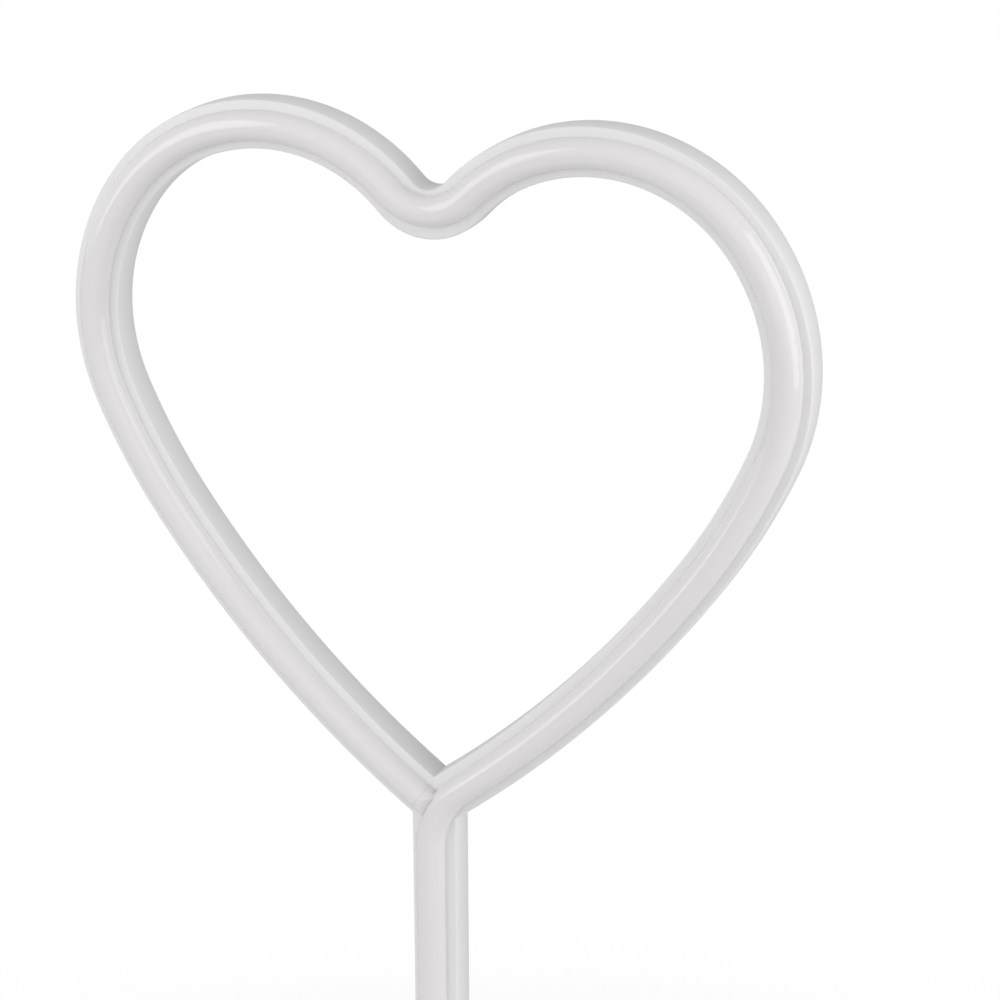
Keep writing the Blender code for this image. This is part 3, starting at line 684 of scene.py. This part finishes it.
def glossy_abs(light):
    """White ABS from a polished mould: a soft, even gloss, a faint orange peel, and painted shade that greys
    its walls towards the back.
    """
    coat = new_finish("glossy_moulded_abs", {"IOR": 1.53})
    tone = cloudy(coat, light.colours.housing, change=0.02, size=45)
    rough_between(coat, 0.48, 0.56, size=18)
    # Painted shade: the base colour is scaled down from the lips' face to the back, standing in for the
    # dimmer light on the walls' back
    half = light.channel.depth / 2
    axes = add(coat.tree, "ShaderNodeSeparateXYZ", {"Vector": coat.place})
    share = add(coat.tree, "ShaderNodeMapRange", {"Value": axes.outputs["Y"]},
                {"From Min": -half, "From Max": half, "To Min": 1.0, "To Max": PAINTED_BACK_SHADE})
    add(coat.tree, "ShaderNodeVectorMath", {0: tone, "Scale": share.outputs["Result"]},
        feeds=coat.shader.inputs["Base Color"], operation="SCALE")
    peel = add(coat.tree, "ShaderNodeTexNoise", {"Vector": coat.place},
               {"Scale": grain(1.6), "Detail": 2.0})
    add(coat.tree, "ShaderNodeBump", {"Height": peel.outputs["Fac"]}, {"Distance": 0.02 * MM},
        coat.shader.inputs["Normal"])
    return coat.material


def milky_silicone(colours):
    """Extruded milky silicone: a smooth skin with faint draw lines along its length."""
    coat = new_finish("extruded_milky_silicone", {"IOR": 1.5})
    cloudy(coat, colours.tube, change=0.02, size=25)
    rough_between(coat, 0.06, 0.1, size=30)
    along = add(coat.tree, "ShaderNodeAttribute", attribute_name="along")
    around = add(coat.tree, "ShaderNodeAttribute", attribute_name="around")
    drawn = add(coat.tree, "ShaderNodeCombineXYZ",
                {"X": along.outputs["Fac"], "Y": around.outputs["Fac"]})
    slow = add(coat.tree, "ShaderNodeMapping", {"Vector": drawn.outputs["Vector"]},
               {"Scale": (0.02, 1, 1)})
    lines = add(coat.tree, "ShaderNodeTexNoise", {"Vector": slow.outputs["Vector"]},
                {"Scale": grain(1.2), "Detail": 2.0})
    add(coat.tree, "ShaderNodeBump", {"Height": lines.outputs["Fac"]}, {"Distance": 0.01 * MM},
        coat.shader.inputs["Normal"])
    return coat.material


def satin_abs(name, tone):
    """White ABS from a spark-eroded mould: an even satin with a fine pebbled grain."""
    coat = new_finish(name, {"IOR": 1.53})
    cloudy(coat, tone, change=0.03, size=30)
    rough_between(coat, 0.38, 0.5, size=12)
    pebble = add(coat.tree, "ShaderNodeTexVoronoi", {"Vector": coat.place}, {"Scale": grain(0.5)},
                 feature="SMOOTH_F1")
    add(coat.tree, "ShaderNodeBump", {"Height": pebble.outputs["Distance"]},
        {"Strength": 0.6, "Distance": 0.03 * MM}, coat.shader.inputs["Normal"])
    return coat.material


def zinc_steel(colours):
    """Zinc plated steel: bright grey metal with a dull bloom here and there."""
    coat = new_finish("zinc_plated_steel", {"Metallic": 1})
    cloudy(coat, colours.screw, change=0.18, size=1.5)
    rough_between(coat, 0.24, 0.45, size=0.8)
    return coat.material


def soft_rubber(colours):
    """Moulded rubber: a dry matt grey with a fine grain."""
    coat = new_finish("moulded_grey_rubber")
    cloudy(coat, colours.gland, change=0.08, size=3)
    rough_between(coat, 0.6, 0.8, size=2)
    fine = add(coat.tree, "ShaderNodeTexNoise", {"Vector": coat.place},
               {"Scale": grain(0.3), "Detail": 3.0})
    add(coat.tree, "ShaderNodeBump", {"Height": fine.outputs["Fac"]}, {"Distance": 0.04 * MM},
        coat.shader.inputs["Normal"])
    return coat.material


def wire_skin(name, tone):
    """Extruded PVC: smooth, slightly waxy insulation."""
    coat = new_finish(name)
    cloudy(coat, tone, change=0.15, size=2)
    rough_between(coat, 0.35, 0.5, size=1)
    return coat.material


def solder_mask(colours):
    """White solder mask on a flexible board: a chalky satin."""
    coat = new_finish("white_solder_mask")
    cloudy(coat, colours.strip, change=0.1, size=4)
    rough_between(coat, 0.4, 0.6, size=2)
    return coat.material


# Pieces

def plan_centre(node):
    """A node's middle in the plan."""
    low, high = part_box(node)
    return ((low.x + high.x) / 2, (low.z + high.z) / 2)


def light_of(context):
    """The settings that the operators read."""
    return context.scene.heart_light


class HEARTLIGHT_OT_housing(Operator):
    """Moulds the white channel of the heart and the post"""
    bl_idname = "heartlight.housing"
    bl_label = "Housing"

    def execute(self, context):
        light = light_of(context)
        half, _ = half_heart(light.heart, light.heart.cusp_radius)
        ring = past_middle(half, light.channel.width)
        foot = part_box("front_housing")[0].z
        tip = light.heart.tip_height
        section = channel_section(light.channel)
        shell = mirror_half(sweep("heart_housing", ring, section, light))
        shell = combine(shell, [sweep("post_body", post_run(foot, tip), section, light)], "UNION")
        hollow = hollow_section(light)
        below = foot - CUT_PAST
        lead_in, round_heart = tube_path(light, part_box("tube_lead_cap")[0].z - light.tube.fit)
        cuts = [sweep("groove", [*lead_in, *round_heart], groove_section(light), light),
                mirror_half(sweep("heart_hollow", ring, hollow, light)),
                sweep("post_hollow", post_run(below, tip), hollow, light)]
        ledge = levels(light).ledge
        cavity = light.channel.cavity_width / 2
        wall = -light.stake.front_wall
        socket = [(-cavity, ledge), (cavity, ledge), (cavity, wall), (-cavity, wall)]
        spigot_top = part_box("ground_stake")[1].z + light.channel.gap
        cuts.append(sweep("socket", [(0, below), (0, spigot_top)], socket, light))
        shell = combine(shell, cuts, "DIFFERENCE")
        finish(shell, glossy_abs(light), "light", "white_abs", "front_housing")
        return {"FINISHED"}


class HEARTLIGHT_OT_light_tube(Operator):
    """Draws the milky tube and moulds its two caps"""
    bl_idname = "heartlight.light_tube"
    bl_label = "Light tube"

    def execute(self, context):
        light = light_of(context)
        tube = light.tube
        silicone = milky_silicone(light.colours)
        lead_in, round_heart = tube_path(light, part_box("neon_tube")[0].z)
        path = shortened([*lead_in, *round_heart], tube.seam_to_tip + tube.fit)
        drawn = sweep("light_tube", path, tube_section(tube, True), light, silicone)
        finish(drawn, silicone, "light", "milky_silicone", "neon_tube")

        seam = shortened(round_heart, tube.seam_to_tip)[-1]
        cap = self.plug("tube_far_cap", [seam, round_heart[-1]], light, silicone)
        bend = sweep("bend_clearance", [*lead_in, round_heart[0]], clearance_section(tube), light)
        cap = combine(cap, [bend], "DIFFERENCE")
        finish(cap, silicone, "light", "milky_silicone", "tube_end_cap")

        low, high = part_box("tube_lead_cap")
        cap = self.plug("tube_foot_cap", post_run(low.z, high.z, -tube.post_shift), light, silicone)
        finish(cap, silicone, "light", "milky_silicone", "tube_lead_cap")
        return {"FINISHED"}

    def plug(self, name, path, light, material):
        """A short length of the tube's section with its rims rounded."""
        body = sweep(name, path, tube_section(light.tube, False), light, material)
        return round_rims(body, light.tube.edge_round)


class HEARTLIGHT_OT_covers(Operator):
    """Makes the two back covers with their screw holes"""
    bl_idname = "heartlight.covers"
    bl_label = "Back covers"

    def execute(self, context):
        light = light_of(context)
        material = satin_abs("satin_moulded_abs", light.colours.cover)
        half, _ = half_heart(light.heart, light.heart.cusp_radius)
        section = cover_section(light)
        low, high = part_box("post_back_cover")
        split = high.z + light.channel.gap
        tip = light.heart.tip_height
        ring = past_middle(half, light.channel.width)
        heart = mirror_half(sweep("heart_cover_plate", ring, section, light))
        heart = combine(heart, [sweep("neck", post_run(split, tip), section, light)], "UNION")
        post = sweep("post_cover_plate", post_run(low.z, high.z), section, light)
        gland = [("gland", [plan_centre("cord_gland")], light.cover.gland_waist + light.channel.gap)]
        for item, name, bores in ((heart, "heart", []), (post, "post", gland)):
            drilled = self.drill(item, light, [n for n in SCREW_NODES if n.startswith(name)], bores)
            finish(drilled, material, "light", "white_cover", name + "_back_cover")
        return {"FINISHED"}

    def drill(self, item, light, nodes, bores):
        """Cuts the screws' holes and head recesses, and any other bores, from a cover."""
        cover, gap, level = light.cover, light.channel.gap, levels(light)
        places = [plan_centre(node) for node in nodes]
        low, high = level.back - CUT_PAST, level.front + CUT_PAST
        sunk = level.back + cover.head_height + gap
        cuts = [rods("shanks", places, cover.shank_radius + gap, low, high, light),
                rods("heads", places, cover.head_radius + gap, low, sunk, light)]
        cuts += [rods(name, centres, radius, low, high, light) for name, centres, radius in bores]
        return combine(item, cuts, "DIFFERENCE")


class HEARTLIGHT_OT_screws(Operator):
    """Sets a cross-slotted screw in every cover hole"""
    bl_idname = "heartlight.screws"
    bl_label = "Cover screws"

    def execute(self, context):
        light = light_of(context)
        cover = light.cover
        low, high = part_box(SCREW_NODES[0])
        reach = high.y - low.y
        dome = arc((0, 0), 1, math.pi, 1.5 * math.pi, SMALL_TURN_STEP)
        head = [(-x * cover.head_radius, cover.head_height * (1 + y)) for x, y in dome]
        outline = [(0, reach), (cover.shank_radius, reach - cover.shank_radius),
                   (cover.shank_radius, cover.head_height), *head]
        screw = self.turned("screw", outline)
        slots = [self.slot(cover, quarter) for quarter in (0, math.pi / 2)]
        screw = combine(screw, slots, "DIFFERENCE")
        steel = zinc_steel(light.colours)
        mesh = bpy.data.meshes.new("cover_screws")
        mesh.from_pydata([(*plan_centre(node), 0) for node in SCREW_NODES], [], [])
        points = link("cover_screws", mesh)
        use_tree(points, scatter_tree, Copy=screw, Seed=SCREW_SEED, Material=steel)
        mesh = plain_mesh(points)
        bpy.data.objects.remove(screw)
        upright(mesh, light)
        mesh.transform(Matrix.Translation((0, high.y + light.channel.depth / 2, 0)))
        finish(link("cover_screws", mesh), steel, "light", "zinc_steel", *SCREW_NODES)
        return {"FINISHED"}

    def turned(self, name, outline):
        """An outline of (radius, height) points turned about Z, outer side from top to bottom."""
        shape = bmesh.new()
        corners = [shape.verts.new((radius, 0, height)) for radius, height in outline]
        edges = [shape.edges.new(pair) for pair in zip(corners, corners[1:])]
        bmesh.ops.spin(shape, geom=corners + edges, axis=(0, 0, 1), cent=(0, 0, 0), steps=LATHE_STEPS,
                       angle=2 * math.pi)
        bmesh.ops.remove_doubles(shape, verts=shape.verts, dist=WELD)
        bmesh.ops.recalc_face_normals(shape, faces=shape.faces)
        return link(name, mesh_of(name, shape))

    def slot(self, cover, angle):
        """One arm of the cross slot."""
        arm = block("slot", (cover.drive_length, cover.drive_width, 2 * cover.drive_depth))
        arm.data.transform(Matrix.Rotation(angle, 4, "Z"))
        return arm


class HEARTLIGHT_OT_gland(Operator):
    """Turns the rubber cord gland"""
    bl_idname = "heartlight.gland"
    bl_label = "Cord gland"

    def execute(self, context):
        light = light_of(context)
        cover = light.cover
        low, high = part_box("cord_gland")
        middle = -light.channel.depth / 2
        inner, outer = middle - low.y, middle - high.y
        back = levels(light).back - light.channel.gap
        front = levels(light).front + light.channel.gap
        flange = (high.x - low.x) / 2
        soft = cover.gland_round
        rail = arc((0, 0), cover.gland_waist, 0, 2 * math.pi, RING_TURN_STEP)[:-1]

        def rim(radius, height, start):
            """A quarter round about a place on the section."""
            centre = (radius - cover.gland_waist, height)
            return arc(centre, soft, start, start + math.pi / 2, SMALL_TURN_STEP * 2)

        section = [*rim(flange - soft, outer + soft, -math.pi / 2), (flange - cover.gland_waist, back),
                   (0, back), (0, front), (flange - cover.gland_waist, front),
                   *rim(flange - soft, inner - soft, 0),
                   *rim(cover.gland_bore + soft, inner - soft, math.pi / 2),
                   *rim(cover.gland_bore + soft, outer + soft, math.pi)]
        rubber = soft_rubber(light.colours)
        ring = sweep("gland_ring", list(reversed(rail)), [(-x, y) for x, y in section], light, rubber, True)
        ring.data.transform(Matrix.Translation((0, 0, plan_centre("cord_gland")[1])))
        finish(ring, rubber, "light", "grey_rubber", "cord_gland")
        return {"FINISHED"}


class HEARTLIGHT_OT_inner_pieces(Operator):
    """Gives the wires and the light strip inside the channel their finishes"""
    bl_idname = "heartlight.inner_pieces"
    bl_label = "Inner pieces"

    def execute(self, context):
        colours = light_of(context).colours
        finishes = {"lead_wire_red": wire_skin("red_pvc", colours.red_wire),
                    "lead_wire_black": wire_skin("black_pvc", colours.black_wire),
                    "led_strip": solder_mask(colours)}
        for node, material in finishes.items():
            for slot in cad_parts[node].material_slots:
                slot.link = "OBJECT"
                slot.material = material
        return {"FINISHED"}


class HEARTLIGHT_OT_stake(Operator):
    """Moulds the ground stake"""
    bl_idname = "heartlight.stake"
    bl_label = "Ground stake"

    def execute(self, context):
        light = light_of(context)
        sizes, channel = light.stake, light.channel
        low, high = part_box("ground_stake")
        flange = self.slab("stake_moulding", self.rounded(high.x * 2, high.y * 2, sizes.flange_corner),
                           0, sizes.flange_thickness, sizes.flange_edge)
        neck = self.slab("neck", self.rounded(channel.width, channel.depth, channel.corner_radius),
                         sizes.flange_thickness / 2, sizes.neck_top, 0)
        tools = [neck]
        for quarter in (0, math.pi / 2):
            half = sizes.blade_thickness / 2
            blade = self.slab("blade", self.blade(sizes, low.z), -half, half, sizes.blade_edge)
            blade.data.transform(Matrix.Rotation(quarter, 4, "Z") @ Matrix.Rotation(math.pi / 2, 4, "X"))
            tools.append(blade)
        tools.append(self.spigot(light, high.z))
        stake = combine(flange, tools, "UNION")
        plastic = satin_abs("satin_stake_abs", light.colours.stake)
        finish(stake, plastic, "stake", "stake_abs", "ground_stake")
        return {"FINISHED"}

    def rounded(self, width, depth, radius):
        """A rectangle with rounded corners, centred on the origin."""
        outline = []
        for quarter, (side, end) in enumerate(((1, 1), (-1, 1), (-1, -1), (1, -1))):
            centre = (side * (width / 2 - radius), end * (depth / 2 - radius))
            start = quarter * math.pi / 2
            outline += arc(centre, radius, start, start + math.pi / 2, SMALL_TURN_STEP)
        return outline

    def blade(self, sizes, foot):
        """One blade seen flat: full width at the flange, narrowing to a blunt point."""
        shoulder = foot + sizes.point_length
        return both_sides([(sizes.blade_width / 2, sizes.flange_thickness / 2), (sizes.blade_width / 2, 0),
                           (sizes.shoulder_width / 2, shoulder), (sizes.point_width / 2, foot)])

    def slab(self, name, outline, low, high, edge):
        """A flat outline given a thickness, with its rims rounded."""
        curve = flat_curve(name, outline, True)
        curve.data.fill_mode = "BOTH"
        curve.data.extrude = (high - low) / 2
        mesh = plain_mesh(curve)
        mesh.transform(Matrix.Translation((0, 0, (high + low) / 2)))
        shape = bmesh.new()
        shape.from_mesh(mesh)
        bmesh.ops.remove_doubles(shape, verts=shape.verts, dist=WELD)
        bmesh.ops.recalc_face_normals(shape, faces=shape.faces)
        shape.to_mesh(mesh)
        shape.free()
        item = link(name, mesh)
        return round_rims(item, edge) if edge else item

    def spigot(self, light, top):
        """The bar that goes up into the post, with its edges chamfered."""
        channel, sizes = light.channel, light.stake
        front = sizes.front_wall + channel.gap
        back = -levels(light).ledge - channel.gap
        low = sizes.flange_thickness / 2
        middle = (0, (front + back) / 2 - channel.depth / 2, (top + low) / 2)
        bar = block("spigot", (channel.cavity_width - 2 * channel.gap, back - front, top - low), middle)
        return round_rims(bar, sizes.spigot_chamfer, CHAMFER_STEPS)


class HEARTLIGHT_OT_stage(Operator):
    """Sets up the floor, the studio light and the camera"""
    bl_idname = "heartlight.stage"
    bl_label = "Stage"

    def execute(self, context):
        light = light_of(context)
        settings = light.stage
        scene = context.scene
        scene.view_settings.view_transform = "Standard"
        self.camera(scene, settings)
        self.world(scene, settings)
        self.floor(light.colours)
        for name, softbox in SOFTBOXES.items():
            self.lamp(name, *softbox)
        return {"FINISHED"}

    def camera(self, scene, settings):
        """The camera at the photograph's angle."""
        camera = link("camera", bpy.data.cameras.new("camera"))
        camera.data.lens = settings.lens
        turned = (Matrix.Rotation(settings.camera_yaw, 4, "Z")
                  @ Matrix.Rotation(math.pi / 2 - settings.camera_pitch, 4, "X")
                  @ Matrix.Rotation(settings.camera_roll, 4, "Z"))
        camera.matrix_world = Matrix.Translation(settings.camera_place) @ turned
        camera.data.clip_start = 0.01
        scene.camera = camera

    def world(self, scene, settings):
        """White to the camera and in reflections, and a gentler light that comes mostly from the front."""
        world = bpy.data.worlds.new("studio")
        scene.world = world
        world.use_nodes = True
        tree = world.node_tree
        path = add(tree, "ShaderNodeLightPath")
        seen = path.outputs["Is Camera Ray"]
        for ray in ("Is Glossy Ray", "Is Transmission Ray"):
            either = add(tree, "ShaderNodeMath", {0: seen, 1: path.outputs[ray]}, operation="MAXIMUM")
            seen = either.outputs[0]
        place = add(tree, "ShaderNodeTexCoord")
        depth = add(tree, "ShaderNodeVectorMath", {0: place.outputs["Generated"]}, {1: ROOM_BACK},
                    operation="DOT_PRODUCT")
        room = add(tree, "ShaderNodeMapRange", {"Value": depth.outputs["Value"]},
                   {"From Min": -1.0, "To Min": settings.front_strength, "To Max": settings.back_strength})
        background = tree.nodes["Background"]
        background.inputs["Color"].default_value = (1, 1, 1, 1)
        add(tree, "ShaderNodeMapRange", {"Value": seen, "To Min": room.outputs["Result"]}, {"To Max": 1.0},
            background.inputs["Strength"])

    def floor(self, colours):
        """A wide pale floor under the stake's point, white to the camera away from the object."""
        bpy.ops.mesh.primitive_circle_add(radius=FLOOR_RADIUS, vertices=FLOOR_CORNERS, fill_type="NGON",
                                          location=(0, 0, cad_box[0].z - FLOOR_DROP))
        item = bpy.context.object
        item.name = "studio_floor"
        matt = {"Base Color": (*colours.floor, 1), "Roughness": 0.9, "Specular IOR Level": 0.2}
        material, tree, shader, place = new_finish("pale_floor", matt)
        far = add(tree, "ShaderNodeVectorMath", {0: place}, operation="LENGTH")
        near_edge, far_edge = FLOOR_FADE
        fade = add(tree, "ShaderNodeMapRange", {"Value": far.outputs["Value"]},
                   {"From Min": near_edge, "From Max": far_edge}, interpolation_type="SMOOTHSTEP")
        seen = add(tree, "ShaderNodeLightPath").outputs["Is Camera Ray"]
        share = add(tree, "ShaderNodeMath", {0: fade.outputs["Result"], 1: seen}, operation="MULTIPLY")
        white = add(tree, "ShaderNodeEmission", values={"Color": (1, 1, 1, 1), "Strength": 1.0})
        add(tree, "ShaderNodeMixShader",
            {0: share.outputs[0], 1: shader.outputs["BSDF"], 2: white.outputs["Emission"]},
            feeds=tree.nodes["Material Output"].inputs["Surface"])
        item.data.materials.append(material)

    def lamp(self, name, azimuth, elevation, width, height, power):
        """A softbox that looks at the heart, from degrees right of its front and over its level."""
        data = bpy.data.lights.new(name, "AREA")
        data.shape = "RECTANGLE"
        data.size = width
        data.size_y = height
        data.energy = power
        lamp = link(name, data)
        away = Vector((0, -LAMP_DISTANCE, 0))
        away.rotate(Euler((-math.radians(elevation), 0, math.radians(azimuth))))
        lamp.location = Vector(LAMP_AIM) + away
        lamp.rotation_euler = (-away).to_track_quat("-Z", "Y").to_euler()


class HEARTLIGHT_PT_sidebar(Panel):
    """Lists the pieces in the sidebar"""
    bl_idname = "HEARTLIGHT_PT_sidebar"
    bl_label = "Heart light"
    bl_space_type = "VIEW_3D"
    bl_region_type = "UI"
    bl_category = "Heart light"

    def draw(self, context):
        for step in STEPS:
            self.layout.operator(step.bl_idname)


STEPS = (
    HEARTLIGHT_OT_housing,
    HEARTLIGHT_OT_light_tube,
    HEARTLIGHT_OT_covers,
    HEARTLIGHT_OT_screws,
    HEARTLIGHT_OT_gland,
    HEARTLIGHT_OT_inner_pieces,
    HEARTLIGHT_OT_stake,
    HEARTLIGHT_OT_stage,
)
GROUPS = (
    ChannelSizes,
    HeartSizes,
    TubeSizes,
    CoverSizes,
    StakeSizes,
    FinishColours,
    StageSettings,
    HeartLight,
)


def register():
    """Registers the settings, the operators and the panel."""
    for item in (*GROUPS, *STEPS, HEARTLIGHT_PT_sidebar):
        bpy.utils.register_class(item)
    bpy.types.Scene.heart_light = PointerProperty(type=HeartLight)


def unregister():
    """Takes the settings, the operators and the panel out again."""
    del bpy.types.Scene.heart_light
    for item in reversed((*GROUPS, *STEPS, HEARTLIGHT_PT_sidebar)):
        bpy.utils.unregister_class(item)


def main():
    """Builds every piece in order."""
    register()
    for step in STEPS:
        group, name = step.bl_idname.split(".")
        getattr(getattr(bpy.ops, group), name)()


if __name__ == "__main__":
    main()
